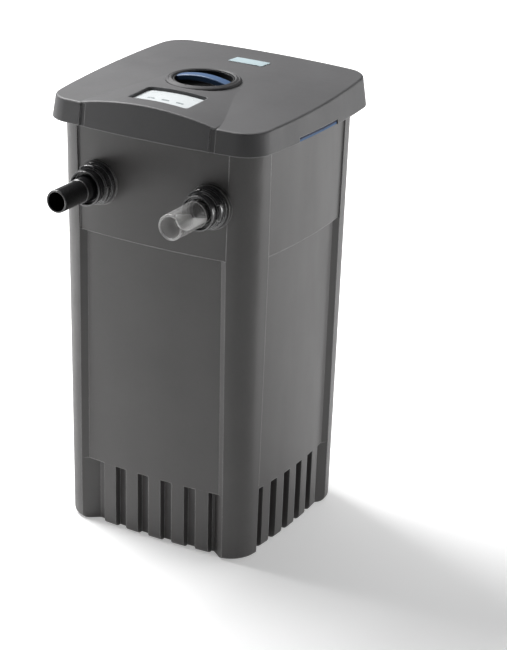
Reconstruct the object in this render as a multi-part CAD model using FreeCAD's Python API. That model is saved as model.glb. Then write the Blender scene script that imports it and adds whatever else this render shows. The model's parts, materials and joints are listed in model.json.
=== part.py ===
"""Pond canister filter: a tall tapered tank with a domed lid, one inlet, one sludge outlet and one clean outlet.

Frame: X is the width, -Y is the front with the two hose fittings, +Z is up.
The origin is the centre of the flat base. All sizes are in millimetres.
"""
import FreeCAD, Part
import math
import os
from FreeCAD import Vector as V

# ---------------------------------------------------------------- driving dimensions
# Tank outline: crowned faces and round corner posts, measured at the rim, tapering towards the base.
TANK_H = 640.0          # underside of the rim flange
TANK_HALF_X = 174.3     # middle of a side face
TANK_HALF_Y = 166.4     # middle of the front face
FRONT_BOW_R = 1052.0    # radius of the crowned front and back faces
SIDE_BOW_R = 893.0      # radius of the crowned side faces
POST_R = 45.0           # round corner posts
TAPER = 0.012           # each face leans in by this much per millimetre below the rim
BASE_ROUND = 8.0        # rounding of the bottom edge
RIM_TOP = 652.0         # top of the rim that the lid rests on
RIM_OUT = 4.0           # how far the rim flange stands out
FLOOR = 6.0             # thickness of the tank floor
SKIN = 4.0              # wall behind each panel

# Panels on each face: from the posts inwards.
UPPER_Z = 476.4         # lower edge of the upper panel
UPPER_DEPTH = 2.5
LOWER_Z = 103.4         # lower edge of the lower panel, top of the ribbed base
LOWER_DEPTH = 8.0
BASE_DEPTH = 20.0       # recess between the base ribs
FRONT_EDGE = (128.6, 124.9, 126.0)   # half width of the panel field: rim, shoulder, below
SIDE_EDGE = (109.4, 106.0, 107.0)
LOWER_SLOPE = 12.0      # plan width of the slanted wall of the lower panel
BASE_SLOPE = 27.0       # plan width of the slanted wall of the base recess
RIBS = 5
FRONT_RIB = (40.8, 21.8, 6.0)        # pitch, width and sideways offset of the ribs
SIDE_RIB = (37.0, 19.0, 0.0)

# Lid: flared skirt, sloping edge line, low dome and a raised arch at the front.
LID_BOTTOM = 640.0
LID_HALF_X = 188.5
LID_FRONT = -180.0
LID_BACK = 187.0
LID_FRONT_BOW_R = 1300.0
LID_SIDE_BOW_R = 1200.0
LID_CORNER_R = 42.0
LID_FLARE = 0.12        # skirt leans in by this much per millimetre of height
LID_WALL = 4.0
TOP_ROUND = 4.0         # rounding of the top edge all round
VALLEY_ROUND = 3.0      # of the arch's front edge and of the valleys beside it
LIP_ROUND = 1.2         # of the skirt's lower edge
EDGE_FRONT_Z = 672.0    # top edge of the skirt at the front
EDGE_BACK_Z = 687.0     # and at the back
DOME = ((-200.0, 1.0), (-173.0, 3.0), (-20.0, 11.5), (111.0, 4.0), (200.0, 0.5))   # y, rise of the dome
DOME_HALF = 178.0
ARCH_HALF = 112.0       # half width of the front arch
ARCH_SAG = 13.5         # height of the arch over its ends
ARCH_FRONT_Z = 688.5    # crown of the arch at the front
ARCH_BACK_Z = 693.0     # crown of the arch at the knob
GROOVE = (104.0, 113.0, 2.0)         # inner edge, outer edge and depth of the skirt grooves

# Lock knob
KNOB_Y = -20.0
RING_R = 55.5
RING_BORE_R = 45.5
RING_TOP = 695.0
BEZEL_Z = 688.0         # underside of the bezel, on its ledge in the lid
WELL_R = 49.0           # outside of the cup under the bezel
WELL_Z = 661.0          # and its underside
CUP_R = 45.2
CUP_BORE_R = 42.7
CUP_FLOOR = 671.0
GRIP_WIDE = 17.0
GRIP_TOP = 698.5
SPINDLE_R = 8.0
SPINDLE_TIP_Z = 640.0
RUNNING = 0.05          # radial running clearance
CAM_R = 42.0
CAM_Z = (648.0, 653.0)
PIN_R = 3.0
PIN_LOCKED = 34.0       # radius of the latch pins when locked
LATCH_TRAVEL = 12.0     # over a quarter turn of the knob
LATCH_Z = (640.9, 646.9)
LATCH_Y = (-62.0, 46.0)


# Display in the lid
WINDOW = (50.0, -147.0, -88.0)       # half width, front edge, back edge
WINDOW_DEPTH = 6.4      # down to the underside of the display plate
PLATE = 1.4             # thickness of the display plate
LENS_Y = (-125.0, -121.5)
WINDOW_R = 6.0

# Hose fittings on the front
PORT_Z = 556.0
INLET_X = -89.0
SLUDGE_X = 100.0
PAD_Y = -163.5          # flat seat on the front face
PAD_BACK_Y = -150.0
SHANK_R = 21.0
FLANGE_R = 31.3
LUG_ARC = 48.0
NUT_BACK_Y = -174.5
NUT_FRONT_Y = -197.0
NUT_MOUTH = 10.0        # depth of the nut's mouth in front of its throat
NUT_LUGS = {"inlet": -13.0, "sludge": -33.0}     # turn of the first lug, in degrees from the top
TAIL_BACK_Y = -183.0     # the tail seats on the neck here
TAIL_TIP_Y = -266.0
TAIL_ROOT_R = 19.6
ROOT_STEP = 0.9         # small shoulder where the root meets the hose end
INLET_TAIL_R = 17.0
SLUDGE_TAIL_R = 19.0

# Clean outlet at the back
OUTLET_Z = 158.0
OUTLET_R = 37.5
OUTLET_TIP_Y = 200.0

# Inside
UVC_Y = -98.0
UVC_R = 38.0
PARTITION_Y = -30.0
FOAM = (92.0, 70.0, 370.0)
FOAM_Z = 130.0
FOAM_X = 96.0
FOAM_Y = (13.0, 87.0)
PUMP = (50.0, -74.0)
PIPE = (100.0, -106.0)
PIPE_R = 15.0

UP = V(0, 0, 1)
OUT = V(0, -1, 0)
BACK = V(0, 1, 0)


# ---------------------------------------------------------------- small helpers
def block(x0, x1, y0, y1, z0, z1):
    return Part.makeBox(x1 - x0, y1 - y0, z1 - z0, V(x0, y0, z0))


def rod(at, r, length, axis=UP):
    return Part.makeCylinder(r, length, V(*at), axis)


def tube(at, r_out, r_in, length, axis=UP):
    return rod(at, r_out, length, axis).cut(rod(at, r_in, length, axis))


def turned(at, axis, profile, arc=360):
    """A closed profile of (radius, distance along the axis) turned about the axis."""
    side = UP if abs(axis.z) < 0.5 else V(1, 0, 0)
    points = [V(*at) + side * r + axis * d for r, d in profile]
    face = Part.Face(Part.makePolygon(points + points[:1]))
    return face.revolve(V(*at), axis, arc)


def fuse(shapes):
    first, rest = shapes[0], shapes[1:]
    return first.multiFuse(rest).removeSplitter()


def soft_edges(shape, radius, wanted):
    """Round the edges that the test picks."""
    edges = [e for e in shape.Edges if wanted(e)]
    return shape.makeFillet(radius, edges)


def upright(edge):
    a, b = edge.Vertexes[0].Point, edge.Vertexes[-1].Point
    return abs(a.x - b.x) < 0.01 and abs(a.y - b.y) < 0.01 and abs(a.z - b.z) > 0.5


def slab(x0, x1, y0, y1, z0, z1, r):
    """A plate with round corners seen from above."""
    return soft_edges(block(x0, x1, y0, y1, z0, z1), r, upright)


def crowned_wire(half_x, front, back, bow_front, bow_side, corner, z):
    """Closed outline of four crowned sides with tangent round corners."""
    mid = (front + back) / 2.0
    front_c = V(0, front + bow_front, 0)
    side_c = V(half_x - bow_side, mid, 0)
    span = (side_c - front_c).Length
    a, b = bow_front - corner, bow_side - corner
    along = (a * a - b * b + span * span) / (2 * span)
    off = math.sqrt(a * a - along * along)
    u = (side_c - front_c) * (1 / span)
    corner_c = front_c + u * along + V(u.y, -u.x, 0) * off
    if corner_c.y > mid:
        corner_c = front_c + u * along - V(u.y, -u.x, 0) * off
    to_front = (corner_c - front_c).normalize()
    to_side = (corner_c - side_c).normalize()
    start = front_c + to_front * bow_front
    bend = corner_c + (to_front + to_side).normalize() * corner
    end = side_c + to_side * bow_side

    def at(p, sx, sy):
        return V(sx * p.x, p.y if sy > 0 else 2 * mid - p.y, z)

    edges = []
    turns = ((1, 1), (1, -1), (-1, -1), (-1, 1))
    for (sx, sy), (nx, ny) in zip(turns, turns[1:] + turns[:1]):
        first, last = (start, end) if sx * sy > 0 else (end, start)
        edges.append(Part.Arc(at(first, sx, sy), at(bend, sx, sy), at(last, sx, sy)).toShape())
        apex = V(half_x, mid, 0) if sx == nx else V(0, front, 0)
        follow = end if sx == nx else start
        edges.append(Part.Arc(at(follow, sx, sy), at(apex, sx, sy), at(follow, nx, ny)).toShape())
    return Part.Wire(edges)


# ---------------------------------------------------------------- tank
def tank_wire(inset, z):
    k = inset + TAPER * (TANK_H - z)
    return crowned_wire(TANK_HALF_X - k, k - TANK_HALF_Y, TANK_HALF_Y - k,
                        FRONT_BOW_R - inset, SIDE_BOW_R - inset, POST_R - min(inset, 20.0), z)


def tank_block(inset, z0, z1):
    """The tank's outline, inset from the posts, between two heights."""
    return Part.makeLoft([tank_wire(inset, z0), tank_wire(inset, z1)], True, True)


def rounded_tank_block(inset):
    body = tank_block(inset, 0.0, LOWER_Z if inset else TANK_H)
    return soft_edges(body, BASE_ROUND, lambda e: e.BoundBox.ZMax < 0.01)


def field_wire(edge, post_y, depth, slope, z):
    """Plan outline of one panel field on the front face: a trapezium cut into the post level."""
    reach = depth + 6.0
    inner = edge - slope * reach / depth
    points = [V(-edge, post_y, z), V(-inner, post_y + reach, z), V(inner, post_y + reach, z), V(edge, post_y, z),
              V(edge, post_y - 30, z), V(-edge, post_y - 30, z)]
    return Part.makePolygon(points + points[:1])


def face_cut(edge_low, edge_high, z0, z1, depth, slope, half, bow):
    """The material that a panel removes from the front face (or from a side, turned round)."""
    wires = []
    for edge, z in ((edge_low, z0), (edge_high, z1)):
        plane = -(half - TAPER * (TANK_H - z)) + edge * edge / (2 * bow)
        wires.append(field_wire(edge, plane, depth, slope, z))
    return Part.makeLoft(wires, True, True)


def around(shape_front, shape_side):
    """Copies of a front tool on the front and back, and of a side tool on both sides."""
    tools = []
    for angle, shape in ((0, shape_front), (180, shape_front), (90, shape_side), (270, shape_side)):
        copy = shape.copy()
        copy.rotate(V(0, 0, 0), UP, angle)
        tools.append(copy)
    return tools


def panel_cuts():
    levels = ((UPPER_Z, TANK_H + 20, UPPER_DEPTH, 1.0, 1, 0), (LOWER_Z, UPPER_Z, LOWER_DEPTH, LOWER_SLOPE, 2, 1),
              (-1.0, LOWER_Z, BASE_DEPTH, BASE_SLOPE, 2, 2))
    cuts = []
    for z0, z1, depth, slope, low, high in levels:
        front = face_cut(FRONT_EDGE[low], FRONT_EDGE[high], z0, z1, depth, slope, TANK_HALF_Y, FRONT_BOW_R)
        side = face_cut(SIDE_EDGE[low], SIDE_EDGE[high], z0, z1, depth, slope, TANK_HALF_X, SIDE_BOW_R)
        floor = tank_block(depth, z0 - 1, z1 + 1)
        cuts += [tool.cut(floor) for tool in around(front, side)]
    return cuts


def rib_bars():
    """Five upright ribs in the base recess of each face, flush with the lower panel."""
    bars = []
    for (pitch, wide, offset), half in ((FRONT_RIB, TANK_HALF_Y), (SIDE_RIB, TANK_HALF_X)):
        row = []
        for i in range(RIBS):
            left = (i - RIBS // 2) * pitch + offset - wide / 2
            row.append(block(left, left + wide, -half, 40 - half, 0, LOWER_Z + 1))
        bars.append(Part.makeCompound(row))
    return Part.makeCompound(around(*bars))


def tank_cavity():
    base = tank_block(BASE_DEPTH + SKIN, FLOOR, LOWER_Z + SKIN)
    middle = tank_block(LOWER_DEPTH + SKIN, LOWER_Z + SKIN, UPPER_Z + SKIN)
    top = tank_block(UPPER_DEPTH + SKIN, UPPER_Z + SKIN, RIM_TOP + 1)
    return fuse([base, middle, top])


def tank_shell():
    body = rounded_tank_block(0.0)
    for cut in panel_cuts():
        body = body.cut(cut)
    ribs = rib_bars().common(rounded_tank_block(LOWER_DEPTH))
    rim = tank_block(-RIM_OUT, TANK_H, RIM_TOP)
    body = body.fuse(ribs).fuse(rim).cut(tank_cavity())
    pads = [rod((x, PAD_BACK_Y, PORT_Z), FLANGE_R + 2, PAD_BACK_Y - PAD_Y, OUT) for x in (INLET_X, SLUDGE_X)]
    pads.append(rod((0, 140, OUTLET_Z), OUTLET_R + 12, 18, BACK))
    pads.append(rod((110, 145, 600), 14, 18, BACK))
    body = fuse([body] + pads)
    for x in (INLET_X, SLUDGE_X):
        body = body.cut(rod((x, -120, PORT_Z), SHANK_R + 0.2, 60, OUT))
    body = body.cut(rod((0, 130, OUTLET_Z), OUTLET_R + 0.2, 40, BACK))
    body = body.cut(rod((110, 130, 600), 8.2, 40, BACK))
    for side in (-1, 1):
        x0, x1 = sorted((side * 150.0, side * 190.0))
        body = body.cut(block(x0, x1, LATCH_Y[0] - 1, LATCH_Y[1] + 1, LATCH_Z[0] - 0.6, RIM_TOP + 1))
    return body.removeSplitter()


# ---------------------------------------------------------------- lid
def edge_z(y):
    return EDGE_FRONT_Z + (EDGE_BACK_Z - EDGE_FRONT_Z) * (y - LID_FRONT) / (LID_BACK - LID_FRONT)


def lid_wire(inset, z):
    k = inset + LID_FLARE * (z - LID_BOTTOM)
    return crowned_wire(LID_HALF_X - k, LID_FRONT + k, LID_BACK - k,
                        LID_FRONT_BOW_R, LID_SIDE_BOW_R, LID_CORNER_R - inset, z)


def skirt_block(inset, z0, z1):
    return Part.makeLoft([lid_wire(inset, z0), lid_wire(inset, z1)], True, True)


def arch_wire(y, half, low, top, floor):
    """Upright section: flat below, an arc above through its ends and crown."""
    left, right = V(-half, y, low), V(half, y, low)
    feet = [V(-half, y, floor), V(half, y, floor)]
    edges = [Part.Arc(left, V(0, y, top), right).toShape(), Part.makeLine(right, feet[1]),
             Part.makeLine(feet[1], feet[0]), Part.makeLine(feet[0], left)]
    return Part.Wire(edges)


def dome_block(drop, floor=600.0):
    """Everything under the lid's main top surface, lowered by the drop."""
    half = DOME_HALF + 22.0
    wires = []
    for y, rise in DOME:
        top = edge_z(y) + rise - drop
        wires.append(arch_wire(y, half, top - rise * (half / DOME_HALF) ** 2, top, floor))
    return Part.makeLoft(wires, True, False)


def arch_block(drop, floor=600.0):
    """Everything under the raised front arch, lowered by the drop."""
    slope = (ARCH_BACK_Z - ARCH_FRONT_Z) / (KNOB_Y - LID_FRONT)
    wires = []
    for y in (LID_FRONT - 20, KNOB_Y):
        top = ARCH_FRONT_Z + slope * (y - LID_FRONT) - drop
        wires.append(arch_wire(y, ARCH_HALF, top - ARCH_SAG, top, floor))
    return Part.makeLoft(wires, True, True)


def lid_body():
    """The lid's outer form, solid: soft top edges, soft valleys beside the arch and a soft lower edge."""
    skirt = skirt_block(0.0, LID_BOTTOM, 712.0)
    main = soft_edges(skirt.common(dome_block(0.0)), TOP_ROUND, lambda e: e.BoundBox.ZMin > LID_BOTTOM + 20)
    arch = soft_edges(skirt.common(arch_block(0.0)), VALLEY_ROUND,
                      lambda e: e.BoundBox.YMax < KNOB_Y - 100 and e.BoundBox.XLength > ARCH_HALF)
    body = main.fuse(arch).removeSplitter()
    body = soft_edges(body, VALLEY_ROUND, lambda e: 140 < e.Length < 150 and e.BoundBox.ZMin > EDGE_FRONT_Z)
    return soft_edges(body, LIP_ROUND, lambda e: e.BoundBox.ZMax < LID_BOTTOM + 0.01)


def lid_hollow():
    skirt = skirt_block(LID_WALL, LID_BOTTOM - 5, 712.0)
    tops = dome_block(LID_WALL).fuse(arch_block(LID_WALL))
    return skirt.common(tops)


def skirt_cuts():
    """The two upright grooves of the front, the latch notches at the sides and the raised back edge."""
    cuts = []
    inner, outer, depth = GROOVE
    shallow = skirt_block(depth, LID_BOTTOM - 5, 712.0)
    for side in (-1, 1):
        x0, x1 = sorted((side * inner, side * outer))
        cuts.append(block(x0, x1, LID_FRONT - 5, LID_FRONT + 30, LID_BOTTOM - 1, 674).cut(shallow))
        x0, x1 = sorted((side * 170.0, side * 195.0))
        cuts.append(block(x0, x1, LATCH_Y[0] - 1, LATCH_Y[1] + 1, LID_BOTTOM - 1, LATCH_Z[1] + 0.6))
    low = LID_BOTTOM - 1
    wedge = Part.Face(Part.makePolygon([V(-200, 140, low), V(-200, 200, low), V(-200, 200, LID_BOTTOM + 9),
                                        V(-200, 140, LID_BOTTOM), V(-200, 140, low)]))
    cuts.append(wedge.extrude(V(400, 0, 0)))
    return cuts


def window_box(grow, z0=660.0, z1=712.0):
    half, front, back = WINDOW
    return slab(-half - grow, half + grow, front - grow, back + grow, z0, z1, WINDOW_R + grow)


def lid_shell():
    shell = lid_body().cut(lid_hollow())
    for cut in skirt_cuts():
        shell = shell.cut(cut)
    shelf = skirt_block(LID_WALL - 1, RIM_TOP + RUNNING, RIM_TOP + 4).cut(skirt_block(17, RIM_TOP - 1, RIM_TOP + 5))
    ledge = rod((0, KNOB_Y, BEZEL_Z - 4), RING_R + 4, 60).common(dome_block(1.0))
    under_window = window_box(4.0).common(arch_block(LID_WALL)).cut(arch_block(WINDOW_DEPTH + LID_WALL))
    hangers = []
    for side in (-1, 1):
        x0, x1 = sorted((side * 94.0, side * 106.0))
        hangers.append(block(x0, x1, -46, 6, 660, 700).common(dome_block(LID_WALL - 1)))
    shell = fuse([shell, shelf, ledge, under_window] + hangers)
    shell = shell.cut(rod((0, KNOB_Y, BEZEL_Z - 10), WELL_R + 0.1, 60))
    shell = shell.cut(rod((0, KNOB_Y, BEZEL_Z), RING_R + 0.1, 30))
    shell = shell.cut(window_box(0.0).cut(arch_block(WINDOW_DEPTH)))
    return shell.removeSplitter()


def window_plate():
    return window_box(-0.15).common(arch_block(WINDOW_DEPTH - PLATE)).cut(arch_block(WINDOW_DEPTH))


def indicator_lenses():
    """Three small status lenses that stand just proud of the display plate."""
    lenses = [slab(x - 6.0, x + 6.0, *LENS_Y, 660, 712, 1.5) for x in (-24.0, 0.0, 24.0)]
    body = Part.makeCompound(lenses).common(arch_block(WINDOW_DEPTH - PLATE - 0.4))
    return body.cut(arch_block(WINDOW_DEPTH - PLATE))


def badge():
    plate = slab(-29, 29, 97, 124, 660, 712, 1.5)
    return plate.common(dome_block(-0.8)).cut(dome_block(0.0))


def display_housing():
    body = block(-45, 45, -140, -95, 655, 676)
    return body.cut(block(-43, 43, -138, -97, 657, 677))


def display_board():
    return block(-41, 41, -136, -99, 664, 665.6)


# ---------------------------------------------------------------- lock
def knob_well():
    """Insert that holds the knob: a bezel with a stepped top and twelve index marks, and a cup with a bearing boss."""
    h = RING_TOP - WELL_Z
    rim = BEZEL_Z - WELL_Z
    bore = SPINDLE_R + RUNNING
    profile = ((bore, -6), (14, -6), (14, 0), (WELL_R, 0), (WELL_R, rim), (RING_R, rim), (RING_R, h - 3.5),
               (RING_R - 1.2, h - 2), (RING_R - 3.4, h - 1.0), (RING_R - 4.2, h - 1.8), (RING_R - 5.0, h - 1.0),
               (RING_R - 7.5, h), (RING_BORE_R, h - 1.2), (RING_BORE_R, 3), (bore, 3))
    ring = turned((0, KNOB_Y, WELL_Z), UP, profile)
    marks = []
    for i in range(12):
        mark = block(48.5, 51.0, -0.5, 0.5, RING_TOP - 0.9, RING_TOP + 1)
        mark.rotate(V(0, 0, 0), UP, 30 * i)
        mark.translate(V(0, KNOB_Y, 0))
        marks.append(mark)
    return ring.cut(Part.makeCompound(marks))


def knob_cup():
    base = CUP_FLOOR - 3.0
    height = RING_TOP - 2.0 - base
    profile = ((0, 0), (CUP_R, 0), (CUP_R, height - 0.8), (CUP_R - 0.8, height), (CUP_BORE_R, height),
               (CUP_BORE_R, 9), (CUP_BORE_R - 2, 5), (CUP_BORE_R - 6, 3), (0, 3))
    return turned((0, KNOB_Y, base), UP, profile)


def knob_grip():
    """Arched bar across the cup, with room for fingers on both sides and below."""
    half = 42.5
    outline = [Part.Arc(V(-half, 0, GRIP_TOP - 6), V(0, 0, GRIP_TOP), V(half, 0, GRIP_TOP - 6)).toShape(),
               Part.makeLine(V(half, 0, GRIP_TOP - 6), V(half, 0, GRIP_TOP - 14)),
               Part.Arc(V(half, 0, GRIP_TOP - 14), V(0, 0, GRIP_TOP - 9), V(-half, 0, GRIP_TOP - 14)).toShape(),
               Part.makeLine(V(-half, 0, GRIP_TOP - 14), V(-half, 0, GRIP_TOP - 6))]
    bar = Part.Face(Part.Wire(outline)).extrude(V(0, GRIP_WIDE, 0))
    long_edges = [e for e in bar.Edges if abs(e.BoundBox.YLength) < 0.01 and e.BoundBox.XLength > 10]
    bar = bar.makeFillet(1.8, long_edges)
    bar.translate(V(0, KNOB_Y - GRIP_WIDE / 2, 0))
    return bar.common(rod((0, KNOB_Y, 660), CUP_BORE_R, 60))


def knob_spindle():
    """Shaft of the knob, thinner below the cam."""
    tip = rod((0, KNOB_Y, SPINDLE_TIP_Z), 5.0, CAM_Z[0] - SPINDLE_TIP_Z)
    shaft = rod((0, KNOB_Y, CAM_Z[0]), SPINDLE_R, CUP_FLOOR - 3.0 - CAM_Z[0])
    return shaft.fuse(tip).removeSplitter()


def spiral_slot(turn):
    """Slot that draws a pin straight inwards as the cam turns through a quarter."""
    per_rad = LATCH_TRAVEL / (math.pi / 2)
    wide = PIN_R + 0.35
    over = 0.12
    steps = 12
    sides = []
    for sign in (1, -1):
        points = []
        for i in range(steps + 1):
            a = -over + (math.pi / 2 + 2 * over) * i / steps
            r = PIN_LOCKED - per_rad * a + sign * wide
            points.append(V(r * math.cos(turn - a), r * math.sin(turn - a), CAM_Z[0] - 1))
        curve = Part.BSplineCurve()
        curve.interpolate(points)
        sides.append(curve.toShape())
    first, last = sides
    caps = [Part.makeLine(first.Vertexes[0].Point, last.Vertexes[0].Point),
            Part.makeLine(first.Vertexes[1].Point, last.Vertexes[1].Point)]
    wire = Part.Wire(Part.__sortEdges__([first, last] + caps))
    return Part.Face(wire).extrude(V(0, 0, CAM_Z[1] - CAM_Z[0] + 2))


def lock_cam():
    disc = rod((0, 0, CAM_Z[0]), CAM_R, CAM_Z[1] - CAM_Z[0])
    disc = disc.cut(rod((0, 0, CAM_Z[0] - 1), SPINDLE_R, 10))
    for turn in (0.0, math.pi):
        disc = disc.cut(spiral_slot(turn))
    disc.translate(V(0, KNOB_Y, 0))
    return disc


def hex_prism(at, across, height, bore):
    r = across / math.sqrt(3)
    corners = [V(at[0] + r * math.cos(math.radians(60 * i)), at[1] + r * math.sin(math.radians(60 * i)), at[2])
               for i in range(7)]
    return Part.Face(Part.makePolygon(corners)).extrude(V(0, 0, height)).cut(rod(at, bore, height))


def latch(side):
    """Arm from the cam pin to a wide blade that reaches through the rim to the skirt."""
    z0, z1 = LATCH_Z
    arm_y = (KNOB_Y - 12, KNOB_Y + 12)
    arm = block(PIN_LOCKED - 8, 140, arm_y[0], arm_y[1], z0, z1)
    blade = block(130, 192, LATCH_Y[0], LATCH_Y[1], z0, z1)
    pin = rod((PIN_LOCKED, KNOB_Y, z1), PIN_R, CAM_Z[1] - z1)
    body = fuse([arm, blade, pin])
    body = body.cut(block(148, 156, -50, -34, z0 - 1, z1 + 1)).cut(block(148, 156, -4, 34, z0 - 1, z1 + 1))
    if side < 0:
        body = body.mirror(V(0, 0, 0), V(1, 0, 0))
    return body.common(skirt_block(1.6, LATCH_Z[0] - 1, LATCH_Z[1] + 1))


def latch_guides():
    """A bracket under each arm, screwed to the lid's hangers."""
    brackets = []
    for side in (-1, 1):
        x0, x1 = sorted((side * 94.0, side * 106.0))
        frame = block(x0, x1, -46, 6, 636, 660)
        slot = block(x0 - 1, x1 + 1, KNOB_Y - 12.4, KNOB_Y + 12.4, LATCH_Z[0] - 0.4, LATCH_Z[1] + 0.4)
        inside = block(x0 - 1, x1 + 1, KNOB_Y - 10, KNOB_Y + 10, 650, 661)
        body = frame.cut(slot).cut(inside)
        for y in (-40.5, 0.5):
            body = body.cut(rod((side * 100, y, 630), 2.2, 40))
        brackets.append(body)
    return Part.makeCompound(brackets)


def guide_screws():
    screws = []
    for side in (-1, 1):
        for y in (-40.5, 0.5):
            at = (side * 100, y, 633.5)
            screw = rod(at, 4, 2.5).fuse(rod((at[0], at[1], 636), 2, 24))
            screws.append(screw.cut(block(at[0] - 3, at[0] + 3, at[1] - 0.5, at[1] + 0.5, 633, 634.5)))
    return Part.makeCompound(screws)


# ---------------------------------------------------------------- hose fittings
def port_gasket(x):
    return tube((x, PAD_Y, PORT_Z), FLANGE_R - 0.5, SHANK_R + 0.1, 2.0, OUT)


def port_flange(x):
    """Through-wall adapter: stepped flange, threaded neck outside and shank inside."""
    y0 = PAD_Y - 2.0
    reach = y0 - TAIL_BACK_Y - 1.5
    disc = turned((x, y0, PORT_Z), OUT, ((20, 0), (FLANGE_R, 0), (FLANGE_R, 2.6), (FLANGE_R - 0.9, 3.5),
                                         (FLANGE_R - 3, 3.5), (FLANGE_R - 3, 7.2), (FLANGE_R - 4, 8.0), (20, 8.0)))
    neck = turned((x, y0, PORT_Z), OUT, ((16, 0), (22, 0), (22, reach - 1), (21, reach), (16, reach)))
    thread = ((21.5, 0), (22.6, 0.8), (22.6, 1.4), (21.5, 2.2))
    threads = [turned((x, NUT_BACK_Y - 1.0 - 2.4 * i, PORT_Z), OUT, thread) for i in range(2)]
    shank = rod((x, y0, PORT_Z), SHANK_R, -138.0 - y0, BACK)
    body = fuse([disc, neck, shank] + threads)
    return body.cut(rod((x, -100, PORT_Z), 16, 120, OUT))


def port_locknut(x):
    nut = tube((x, PAD_BACK_Y + 9, PORT_Z), FLANGE_R - 2, SHANK_R + RUNNING, 9, OUT)
    for i in range(8):
        notch = block(x - 3, x + 3, PAD_BACK_Y + 2, PAD_BACK_Y + 10, PORT_Z + FLANGE_R - 5, PORT_Z + FLANGE_R)
        notch.rotate(V(x, 0, PORT_Z), V(0, 1, 0), 45 * i)
        nut = nut.cut(notch)
    return nut


def port_seal(x):
    return tube((x, TAIL_BACK_Y + 1.5, PORT_Z), 20.5, 16.5, 1.5, OUT)


def union_nut(x, turn):
    """Union nut: a rear ring with three wide lugs, a smooth barrel and a round lip round a deep mouth."""
    length = NUT_BACK_Y - NUT_FRONT_Y
    throat = TAIL_ROOT_R + RUNNING
    shoulder = length - NUT_MOUTH
    profile = ((22.8, 0), (27.6, 0), (28.4, 0.8), (28.4, 6.2), (27.6, 7), (25.3, 7), (25.3, 15.5), (26.3, 17), (26.5, 20),
               (26.1, 21.6), (25.2, 22.4), (24.3, 22.4), (23.5, 21.8), (23.2, 20.6), (23.2, shoulder), (throat, shoulder),
               (throat, shoulder - 1.95), (22.8, shoulder - 1.95))
    nut = turned((x, NUT_BACK_Y, PORT_Z), OUT, profile)
    lug_section = ((26, 0.6), (30.2, 0.6), (31.0, 1.4), (31.0, 6.4), (30.2, 7.4), (26, 8.2))
    lugs = []
    for i in range(3):
        lug = turned((x, NUT_BACK_Y, PORT_Z), OUT, lug_section, LUG_ARC)
        lug.rotate(V(x, 0, PORT_Z), BACK, turn + 120 * i + LUG_ARC / 2)
        lugs.append(lug)
    return fuse([nut] + lugs)


def hose_tail(x, r, bore, step):
    """Tail with a collar held by the union nut, a tapered root and a plain end for a hose clip."""
    tip = TAIL_BACK_Y - TAIL_TIP_Y
    root = min(TAIL_ROOT_R, r + ROOT_STEP)
    profile = [(bore, 0), (22.0, 0), (22.0, 1.95), (TAIL_ROOT_R, 1.95), (TAIL_ROOT_R, NUT_MOUTH), (root, step - 0.6),
               (r, step), (r, tip - 2.0), (r - 0.3, tip - 0.7), (r - 1.0, tip), (bore + 0.6, tip), (bore, tip - 0.8)]
    return turned((x, TAIL_BACK_Y, PORT_Z), OUT, profile)


def sludge_insert():
    """Ribbed half shell in the root of the clear tail, cut off at a slant along the top."""
    ribs = 9
    start = 9.0
    end = start + 2 + 4 * ribs
    profile = [(12.6, start), (15.6, start)]
    for i in range(ribs):
        along = start + 2 + 4 * i
        profile += [(15.6, along), (15.0, along + 1), (15.0, along + 2)]
    profile += [(12.6, end)]
    sleeve = turned((SLUDGE_X, TAIL_BACK_Y, PORT_Z), OUT, profile)
    back, front = TAIL_BACK_Y - start + 1, TAIL_BACK_Y - end - 1
    low, high = PORT_Z - 5.0, PORT_Z + 6.0
    slant = Part.Face(Part.makePolygon([V(0, back, low), V(0, front, high), V(0, front, high + 20),
                                        V(0, back, high + 20), V(0, back, low)]))
    slant = slant.extrude(V(40, 0, 0))
    slant.translate(V(SLUDGE_X - 20, 0, 0))
    return sleeve.cut(slant)


def outlet_spigot():
    start = 130.0
    pipe = tube((0, start, OUTLET_Z), OUTLET_R, OUTLET_R - 3.2, OUTLET_TIP_Y - start, BACK)
    flange = tube((0, 160.0, OUTLET_Z), OUTLET_R + 11, OUTLET_R - 1, 4.0, BACK)
    return pipe.fuse(flange).removeSplitter()


def outlet_gasket():
    return tube((0, 158.0, OUTLET_Z), OUTLET_R + 10, OUTLET_R + 0.1, 2.0, BACK)


def outlet_locknut():
    nut = tube((0, 131.0, OUTLET_Z), OUTLET_R + 10, OUTLET_R + RUNNING, 9.0, BACK)
    for i in range(8):
        notch = block(-3, 3, 130, 137, OUTLET_Z + OUTLET_R + 6, OUTLET_Z + OUTLET_R + 11)
        notch.rotate(V(0, 0, OUTLET_Z), V(0, 1, 0), 45 * i)
        nut = nut.cut(notch)
    return nut


def cable_gland():
    """Blind gland body on the back wall, with no cord in it."""
    shank = rod((110, 146, 600), 8.0, 17, BACK)
    cap = turned((110, 163, 600), BACK, ((0, 0), (12, 0), (12, 9), (9, 14), (4, 16), (4, 6), (0, 6)))
    return shank.fuse(cap).removeSplitter()


# ---------------------------------------------------------------- ultraviolet clarifier
def uvc_housing():
    """Upright tube behind the inlet: water enters at the port and leaves through slots near the bottom."""
    at = (INLET_X, UVC_Y, 330.0)
    body = rod(at, UVC_R, 270.0)
    stub = rod((INLET_X, UVC_Y, PORT_Z), 20, UVC_Y + 138.0, OUT)
    body = body.fuse(stub).cut(rod((INLET_X, UVC_Y, 334.0), UVC_R - 3, 270))
    body = body.cut(rod((INLET_X, UVC_Y, PORT_Z), 16, 60, OUT))
    for i in range(6):
        slot = block(INLET_X - 5, INLET_X + 5, UVC_Y, UVC_Y + 50, 342, 392)
        slot.rotate(V(INLET_X, UVC_Y, 0), UP, 60 * i)
        body = body.cut(slot)
    return body.removeSplitter()


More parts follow.
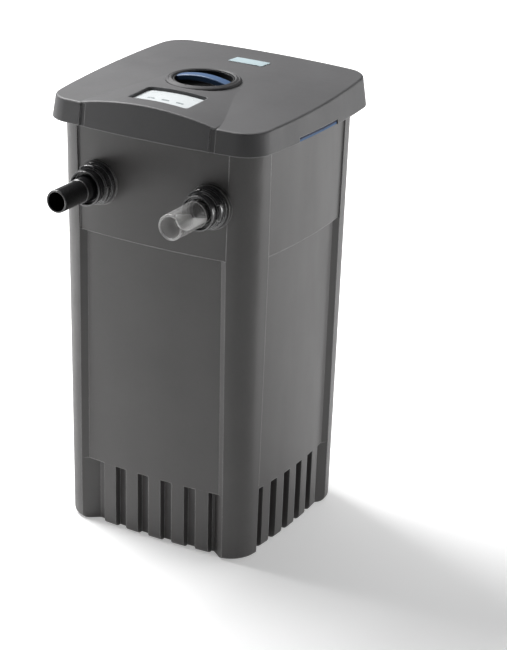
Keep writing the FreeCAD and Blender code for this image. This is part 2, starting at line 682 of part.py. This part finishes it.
def uvc_head():
    """Bayonet cap that carries the lamp; two grip wings on top."""
    at = (INLET_X, UVC_Y, 600.0)
    cap = turned(at, UP, ((0, 0), (UVC_R, 0), (UVC_R, 14), (UVC_R - 3, 18), (0, 18)))
    plug = turned((INLET_X, UVC_Y, 588.0), UP, ((12.6, 0), (UVC_R - 3.05, 0), (UVC_R - 3.05, 12), (12.6, 12)))
    wing = block(INLET_X - 28, INLET_X + 28, UVC_Y - 3, UVC_Y + 3, 618, 630)
    return fuse([cap, plug, wing])


def quartz_sleeve():
    at = (INLET_X, UVC_Y, 345.0)
    return turned(at, UP, ((0, 0), (11, 0), (12.5, 1.5), (12.5, 255), (11, 255), (11, 3), (0, 3)))


def uvc_lamp():
    """Twin-tube lamp with its base plug."""
    tubes = [rod((INLET_X + s * 4.6, UVC_Y, 352), 4.2, 220) for s in (-1, 1)]
    bridge = block(INLET_X - 4.6, INLET_X + 4.6, UVC_Y - 2, UVC_Y + 2, 358, 362)
    base = rod((INLET_X, UVC_Y, 572), 10.4, 28)
    return fuse(tubes + [bridge, base])


def sleeve_ring():
    return turned((INLET_X, UVC_Y, 583.5), UP, ((12.6, 0), (16, 0), (16, 4.4), (12.6, 4.4)))


# ---------------------------------------------------------------- chambers
def partition():
    y0, y1 = PARTITION_Y, PARTITION_Y + 3
    step = LOWER_Z + SKIN + 1
    wall = fuse([block(-138, 138, y0, y1, FLOOR, step), block(-148, 148, y0, y1, step, 560)])
    wall = wall.cut(block(-110, 110, y0 - 1, y1 + 1, 380, 540))
    rail = [block(x - 2, x + 2, y0 - 10, y0, 120, 370) for x in (-60, 0, 60)]
    return fuse([wall] + rail)


def sieve_frame():
    y0, y1 = PARTITION_Y - 3, PARTITION_Y
    frame = block(-118, 118, y0, y1, 372, 548).cut(block(-104, 104, y0 - 1, y1 + 1, 386, 534))
    plug = block(-109.8, 109.8, y1, y1 + 3, 380.2, 539.8).cut(block(-104, 104, y1 - 1, y1 + 4, 386, 534))
    handle = block(-20, 20, y0 - 14, y0, 540, 546).cut(block(-15, 15, y0 - 9, y0 + 1, 539, 547))
    return fuse([frame, plug, handle])


def sieve_bars():
    bars = [rod((x, PARTITION_Y, 386), 1.4, 148) for x in range(-98, 99, 7)]
    return Part.makeCompound(bars)


def foam_grid():
    """Slotted support plate under the foam cartridges."""
    x, y0, y1 = 140, -25, 124
    plate = slab(-x, x, y0, y1, 118, FOAM_Z, 8)
    for i in range(-6, 7):
        plate = plate.cut(block(i * 20 - 6, i * 20 + 6, y0 + 12, y1 - 12, 117, FOAM_Z + 1))
    return plate


def grid_legs():
    """Four legs under the foam grid, each with a wider foot."""
    legs = []
    for x in (-120, 120):
        for y in (-6, 104):
            legs.append(turned((x, y, FLOOR), UP, ((0, 0), (12, 0), (12, 3), (9, 6), (9, 112), (0, 112))))
    return Part.makeCompound(legs)


def foam(x, y):
    wide, deep, high = FOAM
    return slab(x - wide / 2, x + wide / 2, y - deep / 2, y + deep / 2, FOAM_Z, FOAM_Z + high, 8)


def foam_cover():
    """Blue retaining grid on top of the foams, with a lifting bar."""
    z = FOAM_Z + FOAM[2]
    grid = slab(-143, 143, -23, 123, z, z + 8, 8)
    for x in (-FOAM_X, 0, FOAM_X):
        for y in FOAM_Y:
            grid = grid.cut(block(x - 38, x + 38, y - 29, y + 29, z - 1, z + 9))
    posts = [block(sx * 44 - 4, sx * 44 + 4, 46, 54, z + 8, z + 40) for sx in (-1, 1)]
    bar = block(-52, 52, 46, 54, z + 40, z + 48)
    return fuse([grid, bar] + posts)


def temperature_sensor():
    probe = rod((50, PARTITION_Y - 12, 470), 4, 90)
    clip = block(43, 57, PARTITION_Y - 16, PARTITION_Y, 550, 556)
    return probe.fuse(clip).removeSplitter()


# ---------------------------------------------------------------- sludge pump
def pump_strainer():
    x, y = PUMP
    plate = rod((x, y, FLOOR + 5), 36, 3)
    for i in range(8):
        hole = rod((x + 24, y, FLOOR + 4), 5, 6)
        hole.rotate(V(x, y, 0), UP, 45 * i)
        plate = plate.cut(hole)
    plate = plate.cut(rod((x, y, FLOOR + 4), 8, 6))
    feet = [rod((x + 31 * math.cos(a), y + 31 * math.sin(a), FLOOR), 4, 5)
            for a in (math.pi / 4 + math.pi / 2 * i for i in range(4))]
    return fuse([plate] + feet)


def pump_volute():
    x, y = PUMP
    px, py = PIPE
    z0 = FLOOR + 8
    duct_z = z0 + 13
    reach = V(px - x, py - y, 0)
    body = fuse([rod((x, y, z0), 36, 26), Part.makeCylinder(12, reach.Length, V(x, y, duct_z), reach),
                 rod((px, py, z0), PIPE_R, 32)])
    body = body.cut(rod((x, y, z0 + 3), 31, 23)).cut(rod((x, y, z0 - 1), 14, 5))
    body = body.cut(Part.makeCylinder(9, reach.Length, V(x, y, duct_z), reach))
    return body.cut(rod((px, py, duct_z - 10.5), PIPE_R - 3, 60)).removeSplitter()


def pump_motor():
    x, y = PUMP
    z0 = FLOOR + 34
    body = turned((x, y, z0), UP, ((0, 0), (36, 0), (36, 5), (31, 5), (31, 70), (26, 78), (0, 80)))
    body = body.cut(rod((x, y, z0 - 1), 9, 9))
    return body.cut(rod((x, y, z0 + 7), 3 + RUNNING, 12))


def pump_bearing():
    x, y = PUMP
    return tube((x, y, FLOOR + 36), 9, 3 + RUNNING, 5)


def pump_shaft():
    x, y = PUMP
    return rod((x, y, FLOOR + 13), 3, 38)


def pump_impeller():
    x, y = PUMP
    z0 = FLOOR + 14
    hub = tube((x, y, z0), 9, 3, 14)
    disc = tube((x, y, z0 + 11), 27, 8, 3)
    vanes = []
    for i in range(6):
        vane = block(x + 7, x + 26.5, y - 1.2, y + 1.2, z0 + 2, z0 + 11)
        vane.rotate(V(x, y, 0), UP, 60 * i)
        vanes.append(vane)
    return fuse([hub, disc] + vanes)


def pump_screws():
    x, y = PUMP
    screws = []
    for i in range(4):
        a = math.radians(15 + 90 * i)
        at = (x + 33.5 * math.cos(a), y + 33.5 * math.sin(a), FLOOR + 39)
        screws.append(rod(at, 2.2, 2))
    return Part.makeCompound(screws)


def discharge_pipe():
    """Riser from the pump to the sludge port, with a mitred elbow."""
    px, py = PIPE
    z0 = FLOOR + 40
    outer = fuse([rod((px, py, z0), PIPE_R, PORT_Z - z0), Part.makeSphere(PIPE_R, V(px, py, PORT_Z)),
                  rod((px, py, PORT_Z), PIPE_R, 138 + py, OUT), rod((px, -130, PORT_Z), 19, 8, OUT)])
    r = PIPE_R - 3
    inner = fuse([rod((px, py, z0 - 1), r, PORT_Z - z0 + 1), Part.makeSphere(r, V(px, py, PORT_Z)),
                  rod((px, py, PORT_Z), r, 140 + py, OUT)])
    return outer.cut(inner)


# ---------------------------------------------------------------- all nodes
def nodes():
    yield "tank_shell", tank_shell()
    for name, x in (("inlet", INLET_X), ("sludge", SLUDGE_X)):
        yield name + "_gasket", port_gasket(x)
        yield name + "_flange", port_flange(x)
        yield name + "_locknut", port_locknut(x)
        yield name + "_seal", port_seal(x)
        yield name + "_union_nut", union_nut(x, NUT_LUGS[name])
    yield "inlet_tail", hose_tail(INLET_X, INLET_TAIL_R, 14.0, 29.0)
    yield "sludge_tail", hose_tail(SLUDGE_X, SLUDGE_TAIL_R, 15.7, 20.0)
    yield "sludge_insert", sludge_insert()
    yield "outlet_spigot", outlet_spigot()
    yield "outlet_gasket", outlet_gasket()
    yield "outlet_locknut", outlet_locknut()
    yield "cable_gland", cable_gland()
    yield "lid_shell", lid_shell()
    yield "window_plate", window_plate()
    yield "indicator_lenses", indicator_lenses()
    yield "badge", badge()
    yield "display_housing", display_housing()
    yield "display_board", display_board()
    yield "knob_well", knob_well()
    yield "knob_cup", knob_cup()
    yield "knob_grip", knob_grip()
    yield "knob_spindle", knob_spindle()
    yield "lock_cam", lock_cam()
    yield "cam_nut", hex_prism((0, KNOB_Y, 641.0), 16.0, 7.0, 5.0)
    yield "latch_left", latch(-1)
    yield "latch_right", latch(1)
    yield "latch_guides", latch_guides()
    yield "guide_screws", guide_screws()
    yield "uvc_housing", uvc_housing()
    yield "uvc_head", uvc_head()
    yield "quartz_sleeve", quartz_sleeve()
    yield "uvc_lamp", uvc_lamp()
    yield "sleeve_ring", sleeve_ring()
    yield "partition_plate", partition()
    yield "sieve_frame", sieve_frame()
    yield "sieve_bars", sieve_bars()
    yield "foam_grid", foam_grid()
    yield "grid_legs", grid_legs()
    for name, x in (("left", -FOAM_X), ("middle", 0.0), ("right", FOAM_X)):
        yield "foam_blue_" + name, foam(x, FOAM_Y[0])
        yield "foam_red_" + name, foam(x, FOAM_Y[1])
    yield "foam_cover", foam_cover()
    yield "temperature_sensor", temperature_sensor()
    yield "pump_strainer", pump_strainer()
    yield "pump_volute", pump_volute()
    yield "pump_motor", pump_motor()
    yield "pump_bearing", pump_bearing()
    yield "pump_shaft", pump_shaft()
    yield "pump_impeller", pump_impeller()
    yield "pump_screws", pump_screws()
    yield "discharge_pipe", discharge_pipe()


os.makedirs("parts", exist_ok=True)
for node, shape in nodes():
    shape.exportStep("parts/%s.step" % node)
    box = shape.BoundBox
    print("%-20s solids %d valid %s x %.1f..%.1f y %.1f..%.1f z %.1f..%.1f" % (
        node, len(shape.Solids), shape.isValid(), box.XMin, box.XMax, box.YMin, box.YMax, box.ZMin, box.ZMax))
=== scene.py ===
import json
import math
import bpy
from mathutils import Matrix, Vector, noise


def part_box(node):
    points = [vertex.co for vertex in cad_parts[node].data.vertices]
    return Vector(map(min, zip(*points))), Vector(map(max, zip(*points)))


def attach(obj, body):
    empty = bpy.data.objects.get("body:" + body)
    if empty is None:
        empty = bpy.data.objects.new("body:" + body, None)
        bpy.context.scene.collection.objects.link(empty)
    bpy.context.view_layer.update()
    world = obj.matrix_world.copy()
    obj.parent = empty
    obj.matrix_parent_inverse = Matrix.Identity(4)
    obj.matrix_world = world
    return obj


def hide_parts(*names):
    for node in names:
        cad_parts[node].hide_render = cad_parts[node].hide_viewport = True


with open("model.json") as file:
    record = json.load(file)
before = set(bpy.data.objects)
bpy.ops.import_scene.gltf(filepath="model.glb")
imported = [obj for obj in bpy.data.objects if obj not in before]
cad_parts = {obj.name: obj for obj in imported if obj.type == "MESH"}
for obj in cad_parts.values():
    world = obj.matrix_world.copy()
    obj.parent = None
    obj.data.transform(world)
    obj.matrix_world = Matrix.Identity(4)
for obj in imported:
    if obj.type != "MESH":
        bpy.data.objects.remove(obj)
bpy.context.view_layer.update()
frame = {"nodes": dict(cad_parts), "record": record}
NODES = frame["nodes"]
SLOT_OF = {part["node"]: part["material_slot"] for part in frame["record"]["subparts"]}


# ---------------------------------------------------------------- node graph helpers
class Graph:
    """A material's node tree with short calls for adding and joining nodes."""

    def __init__(self, name):
        self.material = bpy.data.materials.new(name)
        self.material.use_nodes = True
        self.tree = self.material.node_tree
        self.tree.nodes.clear()
        self.output = self.add("ShaderNodeOutputMaterial")
        self.place = self.add("ShaderNodeTexCoord").outputs["Object"]

    def add(self, kind, inputs=None, **settings):
        node = self.tree.nodes.new(kind)
        for key, value in settings.items():
            setattr(node, key, value)
        for key, value in (inputs or {}).items():
            self.set(node.inputs[key], value)
        return node

    def set(self, socket, value):
        if isinstance(value, bpy.types.NodeSocket):
            self.tree.links.new(value, socket)
        elif isinstance(value, tuple) and socket.type == "RGBA":
            socket.default_value = (*value[:3], 1.0)
        else:
            socket.default_value = value

    def noise(self, scale, detail=3.0, rough=0.55, place=None):
        inputs = {"Vector": place or self.place, "Scale": scale, "Detail": detail, "Roughness": rough}
        return self.add("ShaderNodeTexNoise", inputs).outputs["Fac"]

    def stretched(self, x, y, z):
        return self.add("ShaderNodeMapping", {"Vector": self.place, "Scale": (x, y, z)}).outputs["Vector"]

    def span(self, value, low, high, to_low, to_high):
        inputs = {"Value": value, "From Min": low, "From Max": high, "To Min": to_low, "To Max": to_high}
        return self.add("ShaderNodeMapRange", inputs).outputs["Result"]

    def maths(self, operation, a, b=0.0):
        return self.add("ShaderNodeMath", {0: a, 1: b}, operation=operation).outputs[0]

    def mix(self, share, a, b, blend="MIX"):
        node = self.add("ShaderNodeMix", data_type="RGBA", blend_type=blend)
        self.set(node.inputs["Factor"], share)
        self.set(node.inputs["A"], a)
        self.set(node.inputs["B"], b)
        return node.outputs["Result"]

    def bump(self, height, distance, strength=1.0, normal=None):
        inputs = {"Height": height, "Distance": distance, "Strength": strength}
        if normal is not None:
            inputs["Normal"] = normal
        return self.add("ShaderNodeBump", inputs).outputs["Normal"]

    def edge_highlight_mask(self, radius):
        """0 on flat ground, towards 1 within the radius of an edge: the mask where a pale edge highlight is
        painted.
        """
        rounded = self.add("ShaderNodeBevel", {"Radius": radius}, samples=4).outputs["Normal"]
        plain = self.add("ShaderNodeNewGeometry").outputs["Normal"]
        inputs = {0: rounded, 1: plain}
        agree = self.add("ShaderNodeVectorMath", inputs, operation="DOT_PRODUCT").outputs["Value"]
        return rounded, self.span(agree, 0.995, 0.88, 0.0, 1.0)

    def surface(self, shader):
        self.set(self.output.inputs["Surface"], shader)
        return self.material


def moulded(name, colour, rough=0.45, grain=0.00012, highlight_strength=0.25, coat=0.0, mottle=0.07, edge=0.0012, highlight_lift=0.04):
    """Moulded plastic: fine grain, cloudy tone, satin streaks and edges painted paler as a highlight."""
    g = Graph(name)
    cloud = g.span(g.noise(9.0, 4.0), 0.3, 0.7, 1.0 - mottle, 1.0 + mottle)
    speck = g.span(g.noise(420.0, 2.0), 0.3, 0.7, 0.97, 1.03)
    tone = g.maths("MULTIPLY", cloud, speck)
    base = g.mix(1.0, colour, tone, "MULTIPLY")
    rounded, edge_highlight = g.edge_highlight_mask(edge)
    # Painted highlight: colour along the edges is lifted towards a paler tone, standing in for the light the
    # edges catch.
    highlight_colour = tuple(min(1.0, c * 1.6 + highlight_lift) for c in colour)
    base = g.mix(g.maths("MULTIPLY", edge_highlight, highlight_strength), base, highlight_colour)
    streak = g.noise(3.0, 3.0, 0.6, g.stretched(6.0, 6.0, 1.0))
    gloss = g.span(streak, 0.3, 0.7, rough - 0.05, rough + 0.05)
    height = g.noise(900.0, 2.0, 0.6)
    normal = g.bump(height, grain, 0.6, rounded)
    shader = g.add("ShaderNodeBsdfPrincipled", {"Base Color": base, "Roughness": gloss, "Normal": normal,
                                                "Coat Weight": coat, "Coat Roughness": 0.12})
    return g.surface(shader.outputs["BSDF"])


FINISHES = {
    # Painted edge highlight: the strength and lift in these rows set how pale each finish's edges are
    # painted.
    "tank_plastic": dict(colour=(0.078, 0.075, 0.074), rough=0.46, highlight_strength=0.9, edge=0.0022, highlight_lift=0.20),
    "lid_plastic": dict(colour=(0.080, 0.079, 0.081), rough=0.52, highlight_strength=0.9, edge=0.0020, highlight_lift=0.16),
    # Painted shade: the knob's bezel is the lid plastic made darker, to pull the ring's brightness down.
    "bezel_painted_shade": dict(colour=(0.030, 0.029, 0.031), rough=0.58, highlight_strength=0.5, edge=0.0012, highlight_lift=0.08),
    # The well's own dark tone, taken darker still as painted shade inside the recess.
    "well_plastic": dict(colour=(0.008, 0.008, 0.009), rough=0.40),
    "black_fitting": dict(colour=(0.010, 0.010, 0.011), rough=0.24, highlight_strength=0.85, coat=0.7,
                          edge=0.0017, highlight_lift=0.55),
    "insert_white": dict(colour=(0.80, 0.80, 0.79), rough=0.45),
    "grip_blue": dict(colour=(0.050, 0.105, 0.215), rough=0.38),
    "display_white": dict(colour=(0.63, 0.66, 0.67), rough=0.3),
    "lens_grey": dict(colour=(0.38, 0.42, 0.43), rough=0.2),
    "badge_silver": dict(colour=(0.42, 0.52, 0.55), rough=0.32, mottle=0.16),
    "seal_rubber": dict(colour=(0.02, 0.02, 0.02), rough=0.7),
    "grey_plastic": dict(colour=(0.16, 0.16, 0.165), rough=0.5),
    "inner_blue": dict(colour=(0.04, 0.10, 0.33), rough=0.42),
    "lamp_white": dict(colour=(0.8, 0.8, 0.82), rough=0.25),
    "board_green": dict(colour=(0.03, 0.14, 0.07), rough=0.5),
}


def shade_topped_blade(name, upper, lower, level):
    """Moulded blade whose upper part is painted navy as the shade under the notch's roof, above its paler own
    blue, with a painted highlight on its edges.
    """
    g = Graph(name)
    height = g.add("ShaderNodeSeparateXYZ", {0: g.place}).outputs["Z"]
    ragged = g.maths("ADD", height, g.span(g.noise(150.0, 3.0), 0.3, 0.7, -0.0003, 0.0003))
    # Painted shade: above the shade line the blade takes the navy upper colour.
    base = g.mix(g.span(ragged, level - 0.0003, level + 0.0003, 0.0, 1.0), lower, upper)
    rounded, edge_highlight = g.edge_highlight_mask(0.0008)
    # Painted highlight: paler blue along the edges.
    base = g.mix(g.maths("MULTIPLY", edge_highlight, 0.3), base, (0.16, 0.24, 0.40))
    normal = g.bump(g.noise(900.0, 2.0, 0.6), 0.0001, 0.6, rounded)
    shader = g.add("ShaderNodeBsdfPrincipled", {"Base Color": base, "Roughness": 0.5, "Normal": normal,
                                                "Specular IOR Level": 0.15})
    return g.surface(shader.outputs["BSDF"])


def clear_plastic(name, tint, milky, rough):
    """Clear moulding: see-through head on, glossy and pale where the wall turns away, with rims painted pale
    as a highlight.
    """
    g = Graph(name)
    facing = g.add("ShaderNodeLayerWeight", {"Blend": 0.2}).outputs["Facing"]
    scratch = g.noise(60.0, 4.0, 0.6, g.stretched(1.0, 0.15, 1.0))
    rounded, rim = g.edge_highlight_mask(0.0028)
    normal = g.bump(scratch, 0.0002, 0.4, rounded)
    skin = g.add("ShaderNodeBsdfPrincipled", {"Base Color": milky, "Roughness": rough, "Normal": normal,
                                              "Specular IOR Level": 0.8})
    through = g.add("ShaderNodeBsdfTransparent", {"Color": tint})
    cloud = g.span(g.noise(45.0, 3.0), 0.35, 0.7, 0.03, 0.13)
    share = g.maths("ADD", g.span(facing, 0.3, 0.95, 0.0, 0.55), cloud)
    # Painted highlight: the rims are made more milky and pale.
    share = g.maths("ADD", share, rim)
    mixed = g.add("ShaderNodeMixShader", {0: share, 1: through.outputs[0], 2: skin.outputs[0]})
    return g.surface(mixed.outputs[0])


def brushed_steel(name, colour=(0.56, 0.56, 0.57)):
    """Turned or drawn stainless steel with fine lines and a few dull patches."""
    g = Graph(name)
    lines = g.noise(180.0, 3.0, 0.6, g.stretched(1.0, 1.0, 0.04))
    dull = g.span(g.noise(30.0, 3.0), 0.35, 0.7, 0.22, 0.42)
    base = g.mix(lines, tuple(c * 0.85 for c in colour), colour)
    normal = g.bump(lines, 0.0001, 0.35)
    shader = g.add("ShaderNodeBsdfPrincipled", {"Base Color": base, "Metallic": 1.0, "Roughness": dull,
                                                "Normal": normal})
    return g.surface(shader.outputs["BSDF"])


def open_foam(name, colour):
    """Reticulated foam: round pores whose depths are painted as shade, and a dusty skin."""
    g = Graph(name)
    cells = g.add("ShaderNodeTexVoronoi", {"Vector": g.place, "Scale": 330.0, "Randomness": 1.0})
    depth = g.span(cells.outputs["Distance"], 0.15, 0.6, 0.0, 1.0)
    coarse = g.noise(40.0, 3.0)
    dark = tuple(c * 0.18 for c in colour)
    # Painted shade: pore depths are darkened towards 0.18 of the foam colour.
    base = g.mix(depth, dark, colour)
    base = g.mix(g.span(coarse, 0.45, 0.75, 0.0, 0.25), base, tuple(min(1.0, c * 1.5 + 0.05) for c in colour))
    normal = g.bump(depth, 0.0012, 0.9)
    shader = g.add("ShaderNodeBsdfPrincipled", {"Base Color": base, "Roughness": 0.95, "Normal": normal,
                                                "Sheen Weight": 0.3})
    return g.surface(shader.outputs["BSDF"])


UNSHADED_SHARE = 0.42     # how far up its blade the latch keeps its own blue; above this it is painted navy as shade
LATCH_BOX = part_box("latch_right")
LATCH_MIDDLE = LATCH_BOX[0][2] + UNSHADED_SHARE * (LATCH_BOX[1][2] - LATCH_BOX[0][2])
MATERIALS = {slot: moulded(slot, **finish) for slot, finish in FINISHES.items()}
# Painted shade: the latch's upper part is near-black navy, and its lower part is its own blue.
MATERIALS["latch_blue"] = shade_topped_blade("latch_blue", (0.008, 0.016, 0.05), (0.06, 0.13, 0.27), LATCH_MIDDLE)
MATERIALS["clear_fitting"] = clear_plastic("clear_fitting", (0.84, 0.84, 0.84), (0.92, 0.91, 0.90), 0.10)
MATERIALS["quartz"] = clear_plastic("quartz", (0.95, 0.97, 0.98), (0.75, 0.80, 0.83), 0.06)
MATERIALS["steel"] = brushed_steel("steel")
MATERIALS["foam_blue"] = open_foam("foam_blue", (0.05, 0.15, 0.40))
MATERIALS["foam_red"] = open_foam("foam_red", (0.38, 0.06, 0.05))
# The knob well takes the darker copy of the lid plastic, which paints shade on its ring.
FINISH_OF = dict(SLOT_OF, knob_well="bezel_painted_shade")
for name, node in NODES.items():
    node.data.materials.clear()
    node.data.materials.append(MATERIALS[FINISH_OF[name]])


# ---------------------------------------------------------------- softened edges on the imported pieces
EDGE_WIDTH = {"tank_shell": 0.0012, "lid_shell": 0.0006}
PLAIN_EDGE = 0.0004
SHARP = math.radians(28)           # edges that turn by more than this are rounded


def soften(node, width):
    """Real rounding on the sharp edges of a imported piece, with normals that keep its faces flat."""
    weld = node.modifiers.new("weld", "WELD")
    weld.merge_threshold = 0.00001
    bevel = node.modifiers.new("bevel", "BEVEL")
    bevel.width = width
    bevel.segments = 2
    bevel.limit_method = "ANGLE"
    bevel.angle_limit = SHARP
    bevel.use_clamp_overlap = True
    even = node.modifiers.new("even", "WEIGHTED_NORMAL")
    even.mode = "FACE_AREA_WITH_ANGLE"
    even.weight = 100


for name, node in NODES.items():
    if SLOT_OF[name] not in ("foam_blue", "foam_red"):
        soften(node, EDGE_WIDTH.get(name, PLAIN_EDGE))


# ---------------------------------------------------------------- foam cartridges
VOXEL = 0.0036
PORES_PER_METRE = 210.0
LUMPS_PER_METRE = 28.0
FOAMS = [name for name, slot in SLOT_OF.items() if slot in ("foam_blue", "foam_red")]


def foam_cartridge(name):
    """Open-cell block: hollow-cheeked sides between its corners, crushed edges and pitted cells all over."""
    low, high = (Vector(corner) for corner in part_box(name))
    middle, half = (low + high) / 2, (high - low) / 2
    source = bpy.data.objects.new(name + "_source", NODES[name].data.copy())
    bpy.context.collection.objects.link(source)
    remesh = source.modifiers.new("remesh", "REMESH")
    remesh.mode = "VOXEL"
    remesh.voxel_size = VOXEL
    shaped = source.evaluated_get(bpy.context.evaluated_depsgraph_get())
    mesh = bpy.data.meshes.new_from_object(shaped)
    bpy.data.objects.remove(source)
    mesh.materials.clear()
    mesh.materials.append(MATERIALS[SLOT_OF[name]])
    places = [v.co.copy() for v in mesh.vertices]
    ways = [v.normal.copy() for v in mesh.vertices]
    for vertex, place, way in zip(mesh.vertices, places, ways):
        share = [(place[i] - middle[i]) / half[i] for i in range(3)]
        slack = math.cos(share[0] * math.pi / 2) * abs(way.y) + math.cos(share[1] * math.pi / 2) * abs(way.x)
        cell = noise.voronoi(place * PORES_PER_METRE)[0][0]
        lump = noise.noise(place * LUMPS_PER_METRE)
        depth = 0.0004 + 0.0012 * slack * (1.0 - abs(share[2])) + 0.0016 * (1.0 - min(1.0, cell * 2.2))
        vertex.co = place - way * (depth + 0.0006 * (lump + 1.0))
    for face in mesh.polygons:
        face.use_smooth = True
    cartridge = bpy.data.objects.new("open_" + name, mesh)
    bpy.context.collection.objects.link(cartridge)
    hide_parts(name)
    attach(cartridge, "tank")


for foam in FOAMS:
    foam_cartridge(foam)


# ---------------------------------------------------------------- floor, light and camera
FLOOR_Z = -0.0003      # just under the base, so that the two faces never coincide
FLOOR_REACH = 40.0     # far enough that low views meet it at the horizon


def make_floor():
    mesh = bpy.data.meshes.new("floor")
    ring = [(-1, -1), (1, -1), (1, 1), (-1, 1)]
    corners = [(x * FLOOR_REACH, y * FLOOR_REACH, FLOOR_Z) for x, y in ring]
    mesh.from_pydata(corners, [], [(0, 1, 2, 3)])
    floor = bpy.data.objects.new("floor", mesh)
    bpy.context.collection.objects.link(floor)
    g = Graph("floor_white")
    tone = g.mix(g.noise(2.0), (0.86, 0.86, 0.86), (0.9, 0.9, 0.9))
    behind = g.add("ShaderNodeVectorMath", {0: g.place, 1: (-0.5, 0.866, 0.0)}, operation="DOT_PRODUCT")
    glow = g.span(behind.outputs["Value"], -0.9, 1.2, 0.10, 0.80)
    white = (1.0, 1.0, 1.0)
    sockets = {"Base Color": tone, "Roughness": 0.8, "Emission Strength": glow, "Emission Color": white}
    shader = g.add("ShaderNodeBsdfPrincipled", sockets)
    mesh.materials.append(g.surface(shader.outputs["BSDF"]))


def area_light(name, place, aim, size, power):
    data = bpy.data.lights.new(name, "AREA")
    data.shape = "RECTANGLE"
    data.size, data.size_y = size
    data.energy = power
    light = bpy.data.objects.new(name, data)
    light.location = place
    light.rotation_euler = (Vector(aim) - Vector(place)).to_track_quat("-Z", "Y").to_euler()
    bpy.context.collection.objects.link(light)


def soft_box(name, azimuth, elevation, power, size=(1.6, 1.6), reach=3.0, aim=(0.0, 0.0, 0.35)):
    """A soft box that looks at the middle of the object from an angle, azimuth 0 along +X."""
    a, e = math.radians(azimuth), math.radians(elevation)
    place = Vector(aim) + reach * Vector((math.cos(a) * math.cos(e), math.sin(a) * math.cos(e), math.sin(e)))
    area_light(name, place, aim, size, power)


def make_lights():
    """White studio that fades to black at the front, with boxes left, right and above and two strips."""
    world = bpy.data.worlds.new("studio")
    world.use_nodes = True
    tree = world.node_tree
    background = tree.nodes["Background"]
    background.inputs["Color"].default_value = (0.98, 0.99, 1.0, 1.0)
    place = tree.nodes.new("ShaderNodeTexCoord")
    towards = tree.nodes.new("ShaderNodeVectorMath")
    towards.operation = "DOT_PRODUCT"
    towards.inputs[1].default_value = (0.46, -0.80, 0.375)
    fade = tree.nodes.new("ShaderNodeMapRange")
    for key, value in (("From Min", -1.0), ("From Max", 1.0), ("To Min", 0.35), ("To Max", 0.0)):
        fade.inputs[key].default_value = value
    tree.links.new(place.outputs["Generated"], towards.inputs[0])
    tree.links.new(towards.outputs["Value"], fade.inputs["Value"])
    tree.links.new(fade.outputs["Result"], background.inputs["Strength"])
    bpy.context.scene.world = world
    soft_box("high_left_box", 170, 50, 148)
    soft_box("left_box", 178, 10, 3)
    soft_box("left_front_strip", 206, -14, 2.1, (0.5, 0.2), 1.35, (0.0, -0.1, 0.42))
    soft_box("right_box", 37, 5, 40, aim=(0.0, 0.0, 0.12))
    soft_box("right_front_strip", -24, 22, 0.8, (0.10, 1.0), 2.4, (0.1, -0.15, 0.45))
    soft_box("top_box", 110, 75, 18)


YAW, PITCH, ROLL = (math.radians(a) for a in (29.863, 22.232, 1.608))
CAMERA_PLACE = Vector((1.62112, -2.67861, 1.58116))
LENS = 122.87
SEES_TO = 120.0        # past the far corners of the floor


def make_camera():
    data = bpy.data.cameras.new("camera")
    data.sensor_width = 36.0
    data.lens = LENS
    data.clip_end = SEES_TO
    camera = bpy.data.objects.new("camera", data)
    ahead = Vector((-math.sin(YAW) * math.cos(PITCH), math.cos(YAW) * math.cos(PITCH), -math.sin(PITCH)))
    right = Vector((math.cos(YAW), math.sin(YAW), 0.0))
    above = right.cross(ahead)
    across = math.cos(ROLL) * right + math.sin(ROLL) * above
    upward = math.cos(ROLL) * above - math.sin(ROLL) * right
    turn = Matrix((across, upward, -ahead)).transposed()
    camera.matrix_world = Matrix.Translation(CAMERA_PLACE) @ turn.to_4x4()
    bpy.context.collection.objects.link(camera)
    bpy.context.scene.camera = camera


make_floor()
make_lights()
make_camera()
bpy.context.scene.view_settings.view_transform = "Standard"
